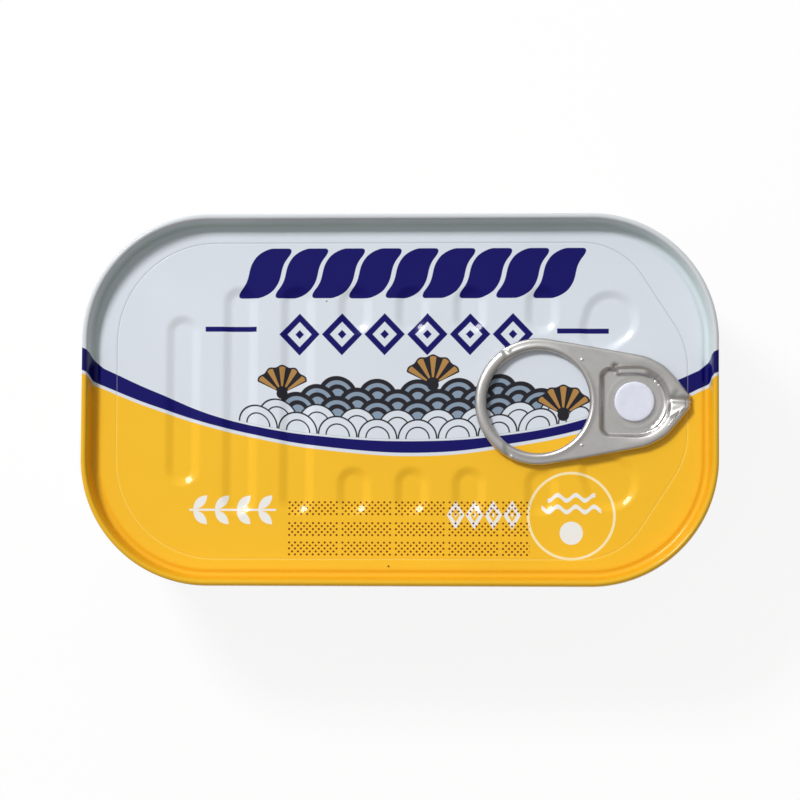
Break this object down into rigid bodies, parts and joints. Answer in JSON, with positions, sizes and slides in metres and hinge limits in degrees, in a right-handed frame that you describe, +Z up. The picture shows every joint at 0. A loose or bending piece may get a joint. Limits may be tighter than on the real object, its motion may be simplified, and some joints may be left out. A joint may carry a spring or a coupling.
{
  "type": "shut fish tin with ring pull",
  "caption": "Shut oblong tin of mackerel with round corners, a double seam, stiffening beads in its easy-open end, and a ring pull on a rivet.",
  "frame": {"origin": "middle of the base, on the surface that the tin stands on", "axes": "+X along the tin towards the nose of the ring pull, +Y across it towards the top edge of the printed end, +Z up out of the end"},
  "size_m": [0.105, 0.0614, 0.0286],
  "materials": {
    "drawn_aluminium": "satin",
    "printed_end": "gloss",
    "pull_aluminium": "satin"
  },
  "bodies": {
    "root": {"can_body": "drawn_aluminium", "lid": "printed_end", "pull_tab": "pull_aluminium"}
  },
  "joints": []
}
